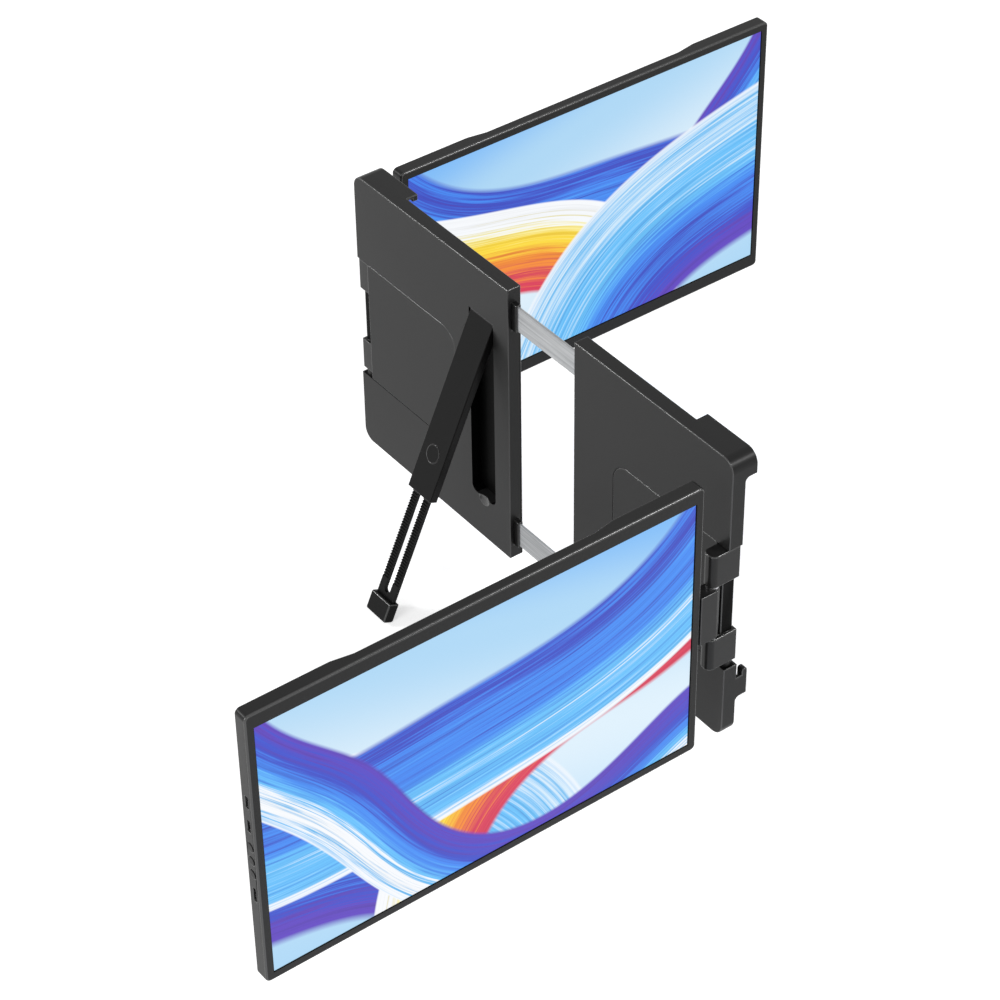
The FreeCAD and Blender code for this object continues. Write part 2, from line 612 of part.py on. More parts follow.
leaf_places = [(w, up) for w in ("leaf_screw_near", "leaf_screw_far")
               for up in ("(-leaf_screw_rise)", "leaf_screw_rise")]


def hinge_leaf(side):
    gap = "(arm_gap / 2 - washer_thick - 0.05)"
    z0 = f"monitor_middle - {gap}"
    z1 = f"monitor_middle + {gap}"
    barrel = rod("z", "arm_half - 0.5", across(side, "hinge_in"), along(side, "link"), z0, f"{gap} * 2")
    block = arm_box(side, "arm_half - 0.5", "link", "hinge_reach", z0, z1)
    tongue = monitor_box(side, "-1", "tongue_length", "monitor_depth / 2 - leaf_tongue / 2",
                         "monitor_depth / 2 + leaf_tongue / 2",
                         "monitor_height / 2 - tongue_half", "monitor_height / 2 + tongue_half")
    holes = [rod("x", "screw_radius", monitor_x(side, "0"), monitor_y(side, w),
                 monitor_z(side, f"monitor_height / 2 + {up}"), "monitor_depth") for w, up in leaf_places]
    bore = rod("z", "pin_radius + running", across(side, "hinge_in"), along(side, "link"), "0", "plate_height")
    return finish(f"{side}_hinge_leaf", cut(fuse(barrel, block, tongue), bore, *holes))


def leaf_screws(side):
    start = "monitor_depth / 2 + leaf_tongue / 2"
    screws = []
    for w, up in leaf_places:
        z = monitor_z(side, f"monitor_height / 2 + {up}")
        post = rod("x", "screw_head", monitor_x(side, start), monitor_y(side, w), z,
                   "monitor_depth / 2 - leaf_tongue / 2 - back_wall")
        shank = rod("x", "screw_radius", monitor_x(side, "monitor_depth / 2 - leaf_tongue / 2"),
                    monitor_y(side, w), z, "leaf_tongue")
        screws.append(fuse(post, shank))
    return finish(f"{side}_leaf_screws", group(*screws))


for side in sides:
    rear_cover(side)
    front_shell(side)
    hinge_tray(side)
    lid_pads(side)
    shell_screws(side)
    plate_pin(side)
    pin_spacer(side)
    hinge_bracket(side)
    monitor_pin(side)
    hinge_washers(side)
    hinge_leaf(side)
    leaf_screws(side)
    bezel(side)
    back_shell(side)
    lcd_panel(side)
    backlight(side)
    main_board(side)
    usb_sockets(side)
    hdmi_socket(side)
    side_keys(side)
    key_switches(side)
    speakers(side)


# Rails: fixed in the left plate, sliding in the right one


def rail(name, middle):
    bar = box(across("left", "left_plate_width - rail_anchor"), across("right", "right_plate_width - rail_inside"),
              "mid_depth - rail_thick / 2", "mid_depth + rail_thick / 2",
              f"{middle} - rail_height / 2", f"{middle} + rail_height / 2")
    return finish(name, cut(bar, anchor_rod(middle)))


def rail_screws():
    return finish("rail_screws", group(*[anchor_rod(middle) for middle in ("rail_top", "rail_bottom")]))


rail("top_rail", "rail_top")
rail("bottom_rail", "rail_bottom")
rail_sleeves()
rail_anchors()
rail_stops()
rail_screws()


# Stand, drawn folded flat and then swung out about its pivot


leg_rear = "(plate_depth - pivot_depth + pivot_inset)"
leg_top = "(pivot_height + pivot_inset)"
pivot_y = "(plate_depth - pivot_depth)"


def leg_x(offset):
    return f"({across('right', 'leg_place')} + ({offset}))"


def swing(item):
    """Turn a piece of the stand about the pivot by the leg's angle."""
    item.Placement = FreeCAD.Placement(FreeCAD.Vector(), FreeCAD.Rotation(FreeCAD.Vector(1, 0, 0), 1))
    angle = "(leg_angle * 1 deg)"
    item.setExpression("Placement.Rotation.Angle", bound(angle))
    place(item, "0", f"{pivot_y} - {pivot_y} * cos({angle}) + pivot_height * sin({angle})",
          f"pivot_height - {pivot_y} * sin({angle}) - pivot_height * cos({angle})")
    return item


def stand_leg():
    bar = box(leg_x("-leg_width / 2"), leg_x("leg_width / 2"), f"{leg_rear} - leg_thick", leg_rear,
              f"{leg_top} - leg_length", leg_top)
    bar = rounded(bar, "z", 0.6)
    crown = box(leg_x("-leg_width"), leg_x("leg_width"), f"{leg_rear} - leg_thick * 2", f"{leg_rear} + leg_thick",
                "pivot_height", "plate_height")
    bar = fuse(cut(bar, crown), rod("x", "leg_thick / 2", leg_x("-leg_width / 2"), pivot_y, "pivot_height",
                                    "leg_width"))
    channel = box(leg_x("-fork_width / 2 - fork_play"), leg_x("fork_width / 2 + fork_play"),
                  f"{leg_rear} - fork_inset - fork_thick - fork_play", f"{leg_rear} - fork_inset + fork_play",
                  f"{leg_top} - leg_length - 1", f"{leg_top} - leg_thick - 7")
    hole = rod("y", "button_radius + button_play", leg_x("0"), f"{leg_rear} - fork_inset", f"{leg_top} - button_place",
               "fork_inset + 1")
    bore = rod("x", "leg_pin + running", leg_x("-leg_width"), pivot_y, "pivot_height", "leg_width * 2")
    return finish("stand_leg", swing(cut(bar, channel, hole, bore)))


def stand_pin():
    reach = "leg_width / 2 + recess_side + recess_wall"
    pin = rod("x", "leg_pin", leg_x(f"-({reach})"), pivot_y, "pivot_height", f"({reach}) * 2")
    return finish("stand_pin", pin)


def stand_fork():
    length = sizes["fork_hidden"] + sizes["fork_shown"]
    crown = pivot_level + sizes["pivot_inset"]
    top = crown - sizes["leg_length"] + sizes["fork_hidden"]
    rear = sizes["plate_depth"] - sizes["pivot_depth"] + sizes["pivot_inset"] - sizes["fork_inset"]
    front = rear - sizes["fork_thick"]
    count = int((length - sizes["neck"]) / sizes["tooth_pitch"])
    outline = [(0, front, top), (0, rear, top)]
    for number in range(count):
        z = top - 0.5 - number * sizes["tooth_pitch"]
        outline.append((0, rear, z))
        outline.append((0, rear - sizes["tooth_depth"], z - sizes["tooth_pitch"] * 0.35))
        outline.append((0, rear - sizes["tooth_depth"], z - sizes["tooth_pitch"] * 0.6))
        outline.append((0, rear, z - sizes["tooth_pitch"] * 0.75))
    bottom = top - length - sizes["tenon"]
    outline += [(0, rear, bottom), (0, front, bottom)]
    middle = half - sizes["leg_place"]
    bars = []
    bar_width = (sizes["fork_width"] - sizes["fork_gap"]) / 2
    for offset in (-sizes["fork_width"] / 2, sizes["fork_gap"] / 2):
        corners = [(middle + offset, y, z) for x, y, z in outline]
        bars.append(prism(corners, (bar_width, 0, 0)))
    fork_top = f"{leg_top} - leg_length + fork_hidden"
    end = f"{fork_top} - fork_hidden - fork_shown"
    web = box(leg_x("-fork_gap / 2 - 0.5"), leg_x("fork_gap / 2 + 0.5"), f"{leg_rear} - fork_inset - fork_thick",
              f"{leg_rear} - fork_inset", f"{end} - tenon", f"{end} + fork_gap / 2 + slot_end")
    round_end = rod("y", "fork_gap / 2", leg_x("0"), "0", f"{end} + fork_gap / 2 + slot_end", "plate_depth * 2")
    return finish("stand_fork", swing(fuse(*bars, cut(web, round_end))))


def stand_foot():
    top = f"{leg_top} - leg_length - fork_shown"
    block = box(leg_x("-foot_width / 2"), leg_x("foot_width / 2"), f"{leg_rear} - foot_front",
                f"{leg_rear} + foot_rear",
                f"{top} - foot_length", top)
    foot_floor = pivot_level + sizes["pivot_inset"] - sizes["leg_length"] - sizes["fork_shown"]
    block = rounded(block, "x", sizes["foot_round"], lambda middle: middle.z < foot_floor - 1)
    slot = box(leg_x("-fork_width / 2"), leg_x("fork_width / 2"), f"{leg_rear} - fork_inset - fork_thick",
               f"{leg_rear} - fork_inset", f"{top} - tenon", f"{top} + 1")
    return finish("stand_foot", swing(cut(block, slot)))


def stand_button():
    disc = rod("y", "button_radius", leg_x("0"), f"{leg_rear} + button_proud - button_thick",
               f"{leg_top} - button_place", "button_thick")
    stem = rod("y", "2.2", leg_x("0"), f"{leg_rear} - fork_inset - 1", f"{leg_top} - button_place",
               "fork_inset + button_proud")
    return finish("stand_button", swing(fuse(disc, stem)))


stand_leg()
stand_pin()
stand_fork()
stand_foot()
stand_button()

doc.recompute()

for item in doc.Objects:
    if "Invalid" in item.State or "Error" in item.State:
        raise RuntimeError(f"{item.Name} {item.Label} failed: {item.State}")

os.makedirs("parts", exist_ok=True)
for name, item in subparts:
    if item.Shape.isNull() or not item.Shape.isValid():
        raise RuntimeError(f"{name} has no valid shape")
    item.Shape.exportStep(f"parts/{name}.step")
    print(name, len(item.Shape.Solids), round(item.Shape.Volume, 1))
print(len(subparts), "sub-parts")
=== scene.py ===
import json
import math
import bpy
import bmesh
from mathutils import Matrix, Vector


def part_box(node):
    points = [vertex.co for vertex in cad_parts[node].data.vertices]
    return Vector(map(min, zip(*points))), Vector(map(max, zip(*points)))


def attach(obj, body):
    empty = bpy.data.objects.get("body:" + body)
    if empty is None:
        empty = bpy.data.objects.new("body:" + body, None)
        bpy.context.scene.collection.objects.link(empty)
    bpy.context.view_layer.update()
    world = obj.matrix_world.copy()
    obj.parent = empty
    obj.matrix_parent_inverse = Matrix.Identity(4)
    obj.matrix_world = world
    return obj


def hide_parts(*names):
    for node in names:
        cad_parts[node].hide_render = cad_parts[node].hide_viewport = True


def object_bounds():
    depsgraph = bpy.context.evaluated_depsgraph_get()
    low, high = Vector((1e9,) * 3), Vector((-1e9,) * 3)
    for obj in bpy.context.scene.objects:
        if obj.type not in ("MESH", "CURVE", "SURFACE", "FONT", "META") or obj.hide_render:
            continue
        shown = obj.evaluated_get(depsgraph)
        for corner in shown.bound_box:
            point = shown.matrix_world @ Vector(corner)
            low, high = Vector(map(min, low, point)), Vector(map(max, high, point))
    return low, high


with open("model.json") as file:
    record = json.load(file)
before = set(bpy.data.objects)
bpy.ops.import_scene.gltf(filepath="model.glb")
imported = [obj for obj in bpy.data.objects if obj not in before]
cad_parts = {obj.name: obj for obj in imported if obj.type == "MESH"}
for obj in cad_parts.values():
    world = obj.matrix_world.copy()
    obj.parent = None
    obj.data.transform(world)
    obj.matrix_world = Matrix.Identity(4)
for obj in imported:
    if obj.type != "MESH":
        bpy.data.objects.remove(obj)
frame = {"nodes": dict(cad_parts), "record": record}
boundsLoaded = [list(corner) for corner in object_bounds()]
nodes = frame["nodes"]
bodies = frame["record"]["behaviour"]["bodies"]
bodyOf = {node: body for body, members in bodies.items() for node in members}
slotOf = {part["node"]: part["material_slot"] for part in frame["record"]["subparts"]}
print("stage: frame loaded,", len(nodes), "nodes")

scene = bpy.context.scene
scene.view_settings.view_transform = "Standard"


def addObject(name, data):
    item = bpy.data.objects.new(name, data)
    scene.collection.objects.link(item)
    return item


# Shader nodes

mixColorInputs = (6, 7)  # where the Mix node has its two colours
mixColorOutput = 2


def newMaterial(name):
    material = bpy.data.materials.new(name)
    material.use_nodes = True
    tree = material.node_tree
    return material, tree, tree.nodes["Principled BSDF"]


# A node whose inputs are plain values or other nodes' sockets, and whose settings are its own properties
def addNode(tree, kind, inputs=None, **settings):
    node = tree.nodes.new(kind)
    for key, value in settings.items():
        setattr(node, key, value)
    for key, value in (inputs or {}).items():
        if isinstance(value, bpy.types.NodeSocket):
            tree.links.new(value, node.inputs[key])
        else:
            node.inputs[key].default_value = value
    return node


def mathNode(tree, operation, first, second=0.0, third=0.0, clamp=False):
    inputs = {0: first, 1: second, 2: third}
    return addNode(tree, "ShaderNodeMath", inputs, operation=operation, use_clamp=clamp).outputs[0]


def mixColor(tree, factor, first, second, blend="MIX"):
    inputs = {0: factor}
    for index, color in zip(mixColorInputs, (first, second)):
        inputs[index] = color if isinstance(color, bpy.types.NodeSocket) else (*color, 1)
    node = addNode(tree, "ShaderNodeMix", inputs, data_type="RGBA", blend_type=blend, clamp_factor=True)
    return node.outputs[mixColorOutput]


def colorRamp(tree, factor, stops, interpolation="EASE"):
    node = addNode(tree, "ShaderNodeValToRGB", {"Fac": factor})
    ramp = node.color_ramp
    ramp.interpolation = interpolation
    while len(ramp.elements) < len(stops):
        ramp.elements.new(0.5)
    for element, (position, color) in zip(ramp.elements, stops):
        element.position = position
        element.color = (*color, 1)
    return node.outputs["Color"]


# Materials

reliefHeight = 0.0001


# Fine unevenness of a surface
def addRelief(tree, shader, height, strength):
    bump = addNode(tree, "ShaderNodeBump", {"Height": height, "Strength": strength, "Distance": reliefHeight})
    tree.links.new(bump.outputs["Normal"], shader.inputs["Normal"])


# Moulded plastic: fine grain in the surface and a faint cloudiness in its colour
def plastic(name, look):
    material, tree, shader = newMaterial(name)
    place = addNode(tree, "ShaderNodeTexCoord").outputs["Object"]
    cloud = addNode(tree, "ShaderNodeTexNoise",
                    {"Vector": place, "Scale": look["cloudScale"], "Detail": look["cloudDetail"]})
    low = [channel * (1 - look["cloud"]) for channel in look["color"]]
    high = [channel * (1 + look["cloud"]) for channel in look["color"]]
    tree.links.new(mixColor(tree, cloud.outputs["Fac"], low, high), shader.inputs["Base Color"])
    grain = addNode(tree, "ShaderNodeTexNoise",
                    {"Vector": place, "Scale": look["grainScale"], "Detail": look["grainDetail"]})
    addRelief(tree, shader, grain.outputs["Fac"], look["grain"])
    shader.inputs["Roughness"].default_value = look["roughness"]
    shader.inputs["Specular IOR Level"].default_value = look["specular"]
    return material


# Metal with fine streaks, long where stretch is small
def brushed(name, look):
    material, tree, shader = newMaterial(name)
    place = addNode(tree, "ShaderNodeTexCoord").outputs["Object"]
    stretched = addNode(tree, "ShaderNodeMapping", {"Vector": place, "Scale": look["stretch"]})
    streak = addNode(tree, "ShaderNodeTexNoise",
                     {"Vector": stretched.outputs["Vector"], "Scale": look["scale"],
                      "Detail": look["streakDetail"], "Roughness": look["streakRoughness"]}).outputs["Fac"]
    stops = [(look["darkUpTo"], look["dark"]), (look["lightFrom"], look["light"])]
    tree.links.new(colorRamp(tree, streak, stops, "LINEAR"), shader.inputs["Base Color"])
    addRelief(tree, shader, streak, look["relief"])
    shader.inputs["Metallic"].default_value = look["metallic"]
    shader.inputs["Roughness"].default_value = look["roughness"]
    return material


plasticBase = {"specular": 0.14, "cloud": 0.03, "cloudScale": 9.0, "cloudDetail": 2.0,
               "grain": 0.08, "grainScale": 1400.0, "grainDetail": 3.0}
plasticLooks = {
    "shell_black": {"color": (0.014, 0.014, 0.014), "roughness": 0.34},
    "arm_black": {"color": (0.015, 0.015, 0.015), "roughness": 0.3, "specular": 0.2},
    "bezel_black": {"color": (0.013, 0.013, 0.0125), "roughness": 0.32},
    "back_grey": {"color": (0.015, 0.015, 0.015), "roughness": 0.34},
    "stand_black": {"color": (0.004, 0.004, 0.004), "roughness": 0.34, "specular": 0.1},
    "sleeve_black": {"color": (0.008, 0.008, 0.008), "roughness": 0.4},
    "key_gloss": {"color": (0.004, 0.004, 0.004), "roughness": 0.28, "specular": 0.1, "grain": 0.0},
    "pad_rubber": {"color": (0.008, 0.008, 0.008), "roughness": 0.75, "grain": 0.35},
    "screen_glass": {"color": (0.006, 0.006, 0.008), "roughness": 0.12, "grain": 0.0},
    "light_plate": {"color": (0.7, 0.7, 0.7), "roughness": 0.5},
    "board_green": {"color": (0.02, 0.16, 0.05), "roughness": 0.4},
    # on parts of a piece: painted shade, near black, on recesses where shade falls, and a painted highlight,
    # lighter and glossier, on the narrow faces along its edges
    "painted_shade_black": {"color": (0.002, 0.002, 0.002), "roughness": 0.5, "specular": 0.04},
    "painted_highlight_edge": {"color": (0.03, 0.03, 0.03), "roughness": 0.2, "specular": 0.6, "grain": 0.0},
}
metalBase = {"streakDetail": 4.0, "streakRoughness": 0.65, "darkUpTo": 0.3, "lightFrom": 0.7, "relief": 0.1}
metalLooks = {
    "rail_aluminium": {"stretch": (0.6, 30.0, 30.0), "scale": 22.0, "dark": (0.28, 0.29, 0.30),
                       "light": (0.52, 0.53, 0.54), "metallic": 0.35, "roughness": 0.42},
    "pin_steel": {"stretch": (20.0, 20.0, 1.0), "scale": 30.0, "dark": (0.32, 0.32, 0.33),
                  "light": (0.5, 0.5, 0.51), "metallic": 1.0, "roughness": 0.3},
    "screw_steel": {"stretch": (10.0, 10.0, 10.0), "scale": 40.0, "dark": (0.06, 0.06, 0.06),
                    "light": (0.12, 0.12, 0.12), "metallic": 0.8, "roughness": 0.35},
    "socket_metal": {"stretch": (10.0, 10.0, 10.0), "scale": 40.0, "dark": (0.45, 0.45, 0.46),
                     "light": (0.65, 0.65, 0.66), "metallic": 1.0, "roughness": 0.25, "relief": 0.05},
}
materials = {name: plastic(name, {**plasticBase, **look}) for name, look in plasticLooks.items()}
materials.update({name: brushed(name, {**metalBase, **look}) for name, look in metalLooks.items()})
for nodeName, item in nodes.items():
    item.data.materials.clear()
    item.data.materials.append(materials[slotOf[nodeName]])
print("stage: materials")


# Softened copies of the moulded pieces

# width: how far an edge is rounded over; thin: the axis through the thickness, with the side where the other
# shell meets the piece as joint; inner: share of the width further from the outline than rim
softPieces = {
    "rear_cover": {"width": 0.0006, "inner": 0.0, "rim": 0.003, "thin": 1, "joint": "low"},
    "front_shell": {"width": 0.0006, "inner": 1.0, "rim": 0.0, "thin": 1, "joint": "high"},
    "hinge_tray": {"width": 0.0005},
    "hinge_bracket": {"width": 0.0008},
    "hinge_leaf": {"width": 0.0004},
    "bezel": {"width": 0.0012, "inner": 0.0, "rim": 0.0012, "thin": 0, "joint": "high"},
    "back_shell": {"width": 0.0005, "inner": 1.0, "rim": 0.0, "thin": 0, "joint": "low"},
}
standPieces = {
    "stand_leg": {"width": 0.0004},
    "stand_foot": {"width": 0.0008},
    "stand_button": {"width": 0.0003},
    "rail_sleeves": {"width": 0.0003},
}
softLook = {"sharpAngle": math.radians(32), "flatAngle": math.radians(0.8), "jointReach": 0.0002,
            "mergeReach": 0.000002, "steps": 3, "faceWeight": 100}
paintedLightReach = {"below": 0.002, "fromRim": 0.003, "hollowTilt": (0.5, 0.998),
              "armShare": 0.23, "armSink": 0.0015}
finishesAndPaintedLight = {"moulded": 0, "painted_highlight_edge": 1, "painted_shade_black": 2}


# Share of the width that an edge gets, which is none where two shells meet
def edgeShare(centre, low, high, look):
    if "thin" not in look:
        return 1.0
    thin = look["thin"]
    joint = high[thin] if look["joint"] == "high" else low[thin]
    if abs(centre[thin] - joint) < softLook["jointReach"]:
        return 0.0
    flat = [axis for axis in range(3) if axis != thin]
    fromRim = min(min(centre[axis] - low[axis], high[axis] - centre[axis]) for axis in flat)
    return 1.0 if fromRim < look["rim"] else look["inner"]


# Rounds an outer edge by its share of the width and keeps an inner one sharp
def markEdges(work, low, high, look):
    weight = work.edges.layers.float.new("bevel_weight_edge")
    for edge in work.edges:
        edge.smooth = True
        if len(edge.link_faces) != 2 or edge.calc_face_angle(0) < softLook["sharpAngle"]:
            continue
        middle = (edge.verts[0].co + edge.verts[1].co) / 2
        share = edgeShare(middle, low, high, look) if edge.is_convex else 0.0
        edge[weight] = share
        edge.smooth = share > 0


# Finish or painted light of one face: recesses where shade falls get painted shade in near black, and the
# finger hollow gets the painted highlight of the edges
def faceFinishOrPaintedLight(face, low, high, nodeName):
    centre = face.center
    # painted shade: faces sunk below the piece's rear face are coloured near black, where shade falls
    sunk = centre.y < high.y - paintedLightReach["below"]
    fromSides = min(centre.x - low.x, high.x - centre.x)
    paintedShade = False
    if nodeName.endswith("rear_cover"):
        leastTilt, mostTilt = paintedLightReach["hollowTilt"]
        if min(fromSides, centre.z - low.z, high.z - centre.z) < paintedLightReach["fromRim"]:
            return "moulded"
        # painted highlight: the tilted faces of the finger hollow take the lighter, glossier edge colour
        if leastTilt < face.normal.y < mostTilt:
            return "painted_highlight_edge"
        paintedShade = sunk
    elif nodeName.endswith("hinge_tray"):
        paintedShade = sunk
    elif nodeName.endswith("hinge_bracket"):
        # painted shade: faces between the arms, set back from the sides, are coloured near black
        betweenArms = abs(centre.z - (low.z + high.z) / 2) < paintedLightReach["armShare"] * (high.z - low.z)
        paintedShade = betweenArms and fromSides > paintedLightReach["armSink"]
    return "painted_shade_black" if paintedShade else "moulded"


# Copy of a node whose edges are rounded over, in the node's place
def softened(nodeName, look):
    low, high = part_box(nodeName)
    mesh = nodes[nodeName].data.copy()
    work = bmesh.new()
    work.from_mesh(mesh)
    bmesh.ops.remove_doubles(work, verts=work.verts, dist=softLook["mergeReach"])
    bmesh.ops.dissolve_limit(work, angle_limit=softLook["flatAngle"], verts=work.verts, edges=work.edges,
                             delimit={"MATERIAL"})
    markEdges(work, low, high, look)
    work.to_mesh(mesh)
    work.free()
    mesh.materials.clear()
    # each copy carries its own moulded colour, a painted shade for recesses and a painted highlight for edges
    for finishOrPaintedLight in finishesAndPaintedLight:
        mesh.materials.append(materials[slotOf[nodeName] if finishOrPaintedLight == "moulded" else finishOrPaintedLight])
    for polygon in mesh.polygons:
        polygon.use_smooth = True
        polygon.material_index = finishesAndPaintedLight[faceFinishOrPaintedLight(polygon, low, high, nodeName)]

    rough = addObject("rough_" + nodeName, mesh)
    bevel = rough.modifiers.new("edges", "BEVEL")
    bevel.width = look["width"]
    bevel.segments = softLook["steps"]
    bevel.limit_method = "WEIGHT"
    bevel.use_clamp_overlap = False
    # painted highlight: the rounded-over faces get a lighter, glossier colour than the piece, so the edges
    # show bright lines
    bevel.material = finishesAndPaintedLight["painted_highlight_edge"]
    normals = rough.modifiers.new("normals", "WEIGHTED_NORMAL")
    normals.weight = softLook["faceWeight"]
    normals.keep_sharp = True
    bpy.context.view_layer.update()
    graph = bpy.context.evaluated_depsgraph_get()
    baked = bpy.data.meshes.new_from_object(rough.evaluated_get(graph))
    bpy.data.objects.remove(rough)

    item = addObject("soft_" + nodeName, baked)
    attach(item, bodyOf[nodeName])
    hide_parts(nodeName)


for side in ("right", "left"):
    for kind, look in softPieces.items():
        softened(f"{side}_{kind}", look)
for nodeName, look in standPieces.items():
    softened(nodeName, look)
print("stage: softened pieces")


# Lit screens: ribbons of colour over a pale sky, each along an arc about a point off the picture

skyPale = (0.42, 0.69, 0.93)
skyWhite = (0.74, 0.88, 0.98)
skyBlue = (0.2, 0.5, 0.95)
azure = (0.045, 0.26, 0.93)
cyan = (0.13, 0.55, 1.0)
deepBlue = (0.035, 0.07, 0.62)
violet = (0.11, 0.045, 0.55)
yellow = (1.0, 0.72, 0.03)
paleYellow = (1.0, 0.9, 0.35)
orange = (0.95, 0.27, 0.02)
red = (0.72, 0.03, 0.09)
white = (0.95, 0.97, 1.0)
shadow = [(0.0, (0, 0, 0)), (1.0, (1, 1, 1))]
noiseMiddle = 0.5

# lengths in heights of the picture, from its lower left corner
ribbons = [
    {"centre": (-0.32, -0.85), "radius": 1.38, "width": 0.34, "sway": 0.05, "seed": 1.0,
     "stops": [(0.0, violet), (0.15, deepBlue), (0.4, azure), (0.72, cyan), (1.0, skyWhite)]},
    {"centre": (1.75, -0.62), "radius": 1.30, "width": 0.20, "sway": 0.08, "seed": 5.0,
     "stops": [(0.0, red), (0.3, orange), (0.62, yellow), (0.85, paleYellow), (1.0, white)]},
    {"centre": (0.55, 2.05), "radius": 1.62, "width": 0.24, "sway": 0.06, "seed": 9.0,
     "stops": [(0.0, violet), (0.12, deepBlue), (0.4, azure), (0.75, cyan), (1.0, white)]},
    {"centre": (1.25, 1.30), "radius": 1.34, "width": 0.15, "sway": 0.1, "seed": 14.0,
     "stops": [(0.0, violet), (0.3, deepBlue), (0.6, azure), (0.85, cyan), (1.0, white)]},
]
ribbonLook = {
    "waves": 5.0,
    "fibresAcross": 85.0, "fibresAlong": 1.6, "fibrePush": 0.95,
    "fibre": {"Scale": 1.0, "Detail": 5.0, "Roughness": 0.62, "Distortion": 0.4},
    "fold": {"Scale": 0.07, "Detail": 1.0}, "foldPush": 0.9,
    "shadeSlope": 1.1, "shadeLeast": 0.35,
    "rimFrom": 0.93, "rimSteepness": 14.0,
    "outerSteepness": 60.0, "innerSteepness": 22.0,
}
pictureLook = {
    "aspect": 1.6,
    "skyRise": 0.7, "skyAcross": 0.19,
    "sky": [(0.0, skyPale), (0.45, skyWhite), (0.8, skyPale), (1.0, skyBlue)],
    "unlit": (0.01, 0.01, 0.01), "roughness": 0.3, "specular": 0.2,
    "glow": 0.95,
}


# A value moved up and down by a noise
def pushed(tree, value, noise, push):
    return mathNode(tree, "MULTIPLY_ADD", mathNode(tree, "SUBTRACT", noise, noiseMiddle), push, value)


# The picture so far with one ribbon laid over it
def withRibbon(tree, picture, across, rise, ribbon):
    sideways = mathNode(tree, "SUBTRACT", across, ribbon["centre"][0])
    upward = mathNode(tree, "SUBTRACT", rise, ribbon["centre"][1])
    angle = mathNode(tree, "ARCTAN2", upward, sideways)
    square = mathNode(tree, "MULTIPLY_ADD", sideways, sideways, mathNode(tree, "MULTIPLY", upward, upward))
    wave = mathNode(tree, "SINE", mathNode(tree, "MULTIPLY_ADD", angle, ribbonLook["waves"], ribbon["seed"]))
    radius = mathNode(tree, "MULTIPLY_ADD", wave, ribbon["sway"], mathNode(tree, "SQRT", square))
    # 0 at the ribbon's inner edge and 1 at its outer one
    inner = ribbon["radius"] - ribbon["width"]
    depth = mathNode(tree, "DIVIDE", mathNode(tree, "SUBTRACT", radius, inner), ribbon["width"] * 2)

    # fine fibres along the arc, and broad folds
    lengthwise = addNode(tree, "ShaderNodeCombineXYZ",
                         {"X": mathNode(tree, "MULTIPLY", radius, ribbonLook["fibresAcross"]),
                          "Y": mathNode(tree, "MULTIPLY", angle, ribbonLook["fibresAlong"]),
                          "Z": ribbon["seed"]}).outputs["Vector"]
    fibre = addNode(tree, "ShaderNodeTexNoise", {"Vector": lengthwise, **ribbonLook["fibre"]}).outputs["Fac"]
    fold = addNode(tree, "ShaderNodeTexNoise", {"Vector": lengthwise, **ribbonLook["fold"]}).outputs["Fac"]
    folded = pushed(tree, depth, fold, ribbonLook["foldPush"])
    color = colorRamp(tree, pushed(tree, folded, fibre, ribbonLook["fibrePush"]), ribbon["stops"])
    shade = mathNode(tree, "MULTIPLY_ADD", fibre, ribbonLook["shadeSlope"], ribbonLook["shadeLeast"])
    color = mixColor(tree, 1.0, color, colorRamp(tree, shade, shadow), "MULTIPLY")

    # white rim at the outer edge, then a sharp outer and a softer inner end
    pastRim = mathNode(tree, "SUBTRACT", depth, ribbonLook["rimFrom"], clamp=True)
    rim = mathNode(tree, "MULTIPLY", pastRim, ribbonLook["rimSteepness"], clamp=True)
    color = mixColor(tree, rim, color, white)
    fromOuter = mathNode(tree, "SUBTRACT", 1.0, depth)
    outerEnd = mathNode(tree, "MULTIPLY", fromOuter, ribbonLook["outerSteepness"], clamp=True)
    innerEnd = mathNode(tree, "MULTIPLY", depth, ribbonLook["innerSteepness"], clamp=True)
    return mixColor(tree, mathNode(tree, "MULTIPLY", outerEnd, innerEnd), picture, color)


def screenPicture(name, order, mirrored):
    material, tree, shader = newMaterial(name)
    flat = addNode(tree, "ShaderNodeUVMap", uv_map="picture").outputs["UV"]
    axes = addNode(tree, "ShaderNodeSeparateXYZ", {"Vector": flat})
    across = mathNode(tree, "MULTIPLY", axes.outputs["X"], pictureLook["aspect"])
    if mirrored:
        across = mathNode(tree, "SUBTRACT", pictureLook["aspect"], across)
    rise = axes.outputs["Y"]
    slope = mathNode(tree, "MULTIPLY", across, pictureLook["skyAcross"])
    height = mathNode(tree, "MULTIPLY_ADD", rise, pictureLook["skyRise"], slope)
    picture = colorRamp(tree, height, pictureLook["sky"])
    for ribbon in order:
        picture = withRibbon(tree, picture, across, rise, ribbon)
    tree.links.new(picture, shader.inputs["Emission Color"])
    shader.inputs["Emission Strength"].default_value = pictureLook["glow"]
    shader.inputs["Base Color"].default_value = (*pictureLook["unlit"], 1)
    shader.inputs["Roughness"].default_value = pictureLook["roughness"]
    shader.inputs["Specular IOR Level"].default_value = pictureLook["specular"]
    return material


pictures = {"left": screenPicture("picture_left", ribbons, False),
            "right": screenPicture("picture_right", ribbons[::-1], True)}
litLook = {"lift": 0.00004, "thick": 0.00002, "margin": 0.0038, "outerMargin": 0.0015}


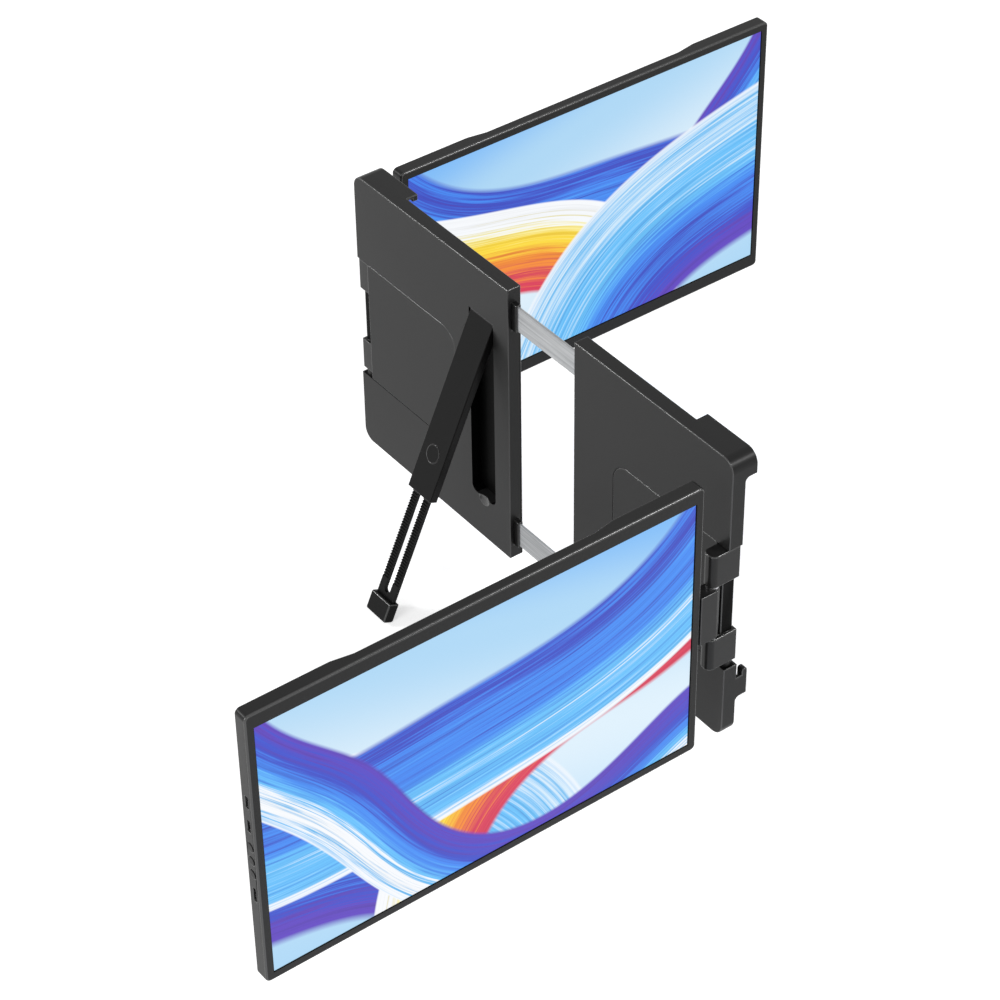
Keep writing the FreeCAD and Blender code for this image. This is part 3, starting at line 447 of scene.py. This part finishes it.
# The lit area as a thin leaf on the panel's front
def litScreen(side):
    low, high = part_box(f"{side}_lcd_panel")
    front = low.x - litLook["lift"]
    margins = (litLook["margin"], litLook["outerMargin"])
    lowMargin, highMargin = margins if side == "left" else margins[::-1]
    y0, y1 = low.y + lowMargin, high.y - highMargin
    z0, z1 = low.z + litLook["margin"], high.z - litLook["margin"]
    # seen from -X, with the picture's left towards +Y
    corners = [(y1, z0), (y0, z0), (y0, z1), (y1, z1)]
    cornerPlaces = [(0, 0), (1, 0), (1, 1), (0, 1)]
    vertices = [(x, y, z) for x in (front, front + litLook["thick"]) for y, z in corners]
    faces = [(0, 1, 2, 3), (7, 6, 5, 4)]
    for corner in range(4):
        following = (corner + 1) % 4
        faces.append((corner, corner + 4, following + 4, following))
    mesh = bpy.data.meshes.new(f"{side}_lit_screen")
    mesh.from_pydata(vertices, [], faces)
    layer = mesh.uv_layers.new(name="picture")
    for loop in mesh.loops:
        layer.data[loop.index].uv = cornerPlaces[loop.vertex_index % 4]
    mesh.update()
    mesh.materials.append(pictures[side])
    item = addObject(f"{side}_lit_screen", mesh)
    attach(item, f"{side}_monitor")


for side in ("right", "left"):
    litScreen(side)
print("stage: lit screens")


# Floor, light and camera

# 1 for rays from the camera, also off a gloss or through glass, and 0 for rays that only light the object
def seenByCamera(tree):
    path = addNode(tree, "ShaderNodeLightPath")
    indirect = mathNode(tree, "MAXIMUM", path.outputs["Is Glossy Ray"], path.outputs["Is Transmission Ray"])
    return mathNode(tree, "MAXIMUM", path.outputs["Is Camera Ray"], indirect)


floorLook = {"color": (0.86, 0.86, 0.86), "roughness": 0.9, "specular": 0.0, "halfSide": 14.0,
             "seenGlow": 0.62}
reach = floorLook["halfSide"]
lowest = boundsLoaded[0][2]
floorCorners = [(-reach, -reach, lowest), (reach, -reach, lowest),
                (reach, reach, lowest), (-reach, reach, lowest)]
floorMesh = bpy.data.meshes.new("floor")
floorMesh.from_pydata(floorCorners, [], [(0, 1, 2, 3)])
floorMaterial, floorTree, floorShader = newMaterial("floor")
floorShader.inputs["Base Color"].default_value = (*floorLook["color"], 1)
floorShader.inputs["Roughness"].default_value = floorLook["roughness"]
floorShader.inputs["Specular IOR Level"].default_value = floorLook["specular"]
floorShader.inputs["Emission Color"].default_value = (1, 1, 1, 1)
floorGlow = mathNode(floorTree, "MULTIPLY", seenByCamera(floorTree), floorLook["seenGlow"])
floorTree.links.new(floorGlow, floorShader.inputs["Emission Strength"])
floorMesh.materials.append(floorMaterial)
floor = addObject("floor", floorMesh)

worldLook = {"light": 0.28, "seenExtra": 0.72}
world = bpy.data.worlds.new("studio")
scene.world = world
world.use_nodes = True
worldTree = world.node_tree
backdrop = worldTree.nodes["Background"]
backdrop.inputs["Color"].default_value = (1, 1, 1, 1)
worldSeen = seenByCamera(worldTree)
worldGlow = mathNode(worldTree, "MULTIPLY_ADD", worldSeen, worldLook["seenExtra"], worldLook["light"])
worldTree.links.new(worldGlow, backdrop.inputs["Strength"])

lampAim = Vector((0, 0, 0.1))
lamps = {
    "key": {"place": (-0.6, 2.8, 1.3), "size": 1.6, "power": 34.0},
    "side": {"place": (-2.9, 0.3, 0.9), "size": 1.4, "power": 12.0},
    "edgeRear": {"place": (1.86, 1.91, 1.37), "size": 0.6, "power": 34.0},
    "edgeFront": {"place": (-1.95, -1.4, 1.95), "size": 0.6, "power": 34.0},
}
for name, lamp in lamps.items():
    data = bpy.data.lights.new(name, "AREA")
    data.shape = "DISK"
    data.size = lamp["size"]
    data.energy = lamp["power"]
    item = addObject(name, data)
    item.location = lamp["place"]
    item.rotation_euler = (lampAim - Vector(lamp["place"])).to_track_quat("-Z", "Y").to_euler()

cameraLook = {
    "place": (-1.2268453, 0.9402988, 1.3287155), "right": (-0.6005443, -0.7995149, -0.0110657),
    "up": (0.5043086, -0.3894712, 0.7707042), "back": (-0.6204992, 0.4572615, 0.6370965),
    "lens": 112.628, "sensor": 36.0, "shiftY": 0.011722, "sight": 100.0,
}
cameraData = bpy.data.cameras.new("camera")
cameraData.sensor_width = cameraLook["sensor"]
cameraData.lens = cameraLook["lens"]
cameraData.shift_y = cameraLook["shiftY"]
cameraData.clip_end = cameraLook["sight"]
camera = addObject("camera", cameraData)
turn = Matrix((cameraLook["right"], cameraLook["up"], cameraLook["back"])).transposed().to_4x4()
camera.matrix_world = Matrix.Translation(cameraLook["place"]) @ turn
bpy.context.scene.camera = camera
print("stage: floor, light and camera")
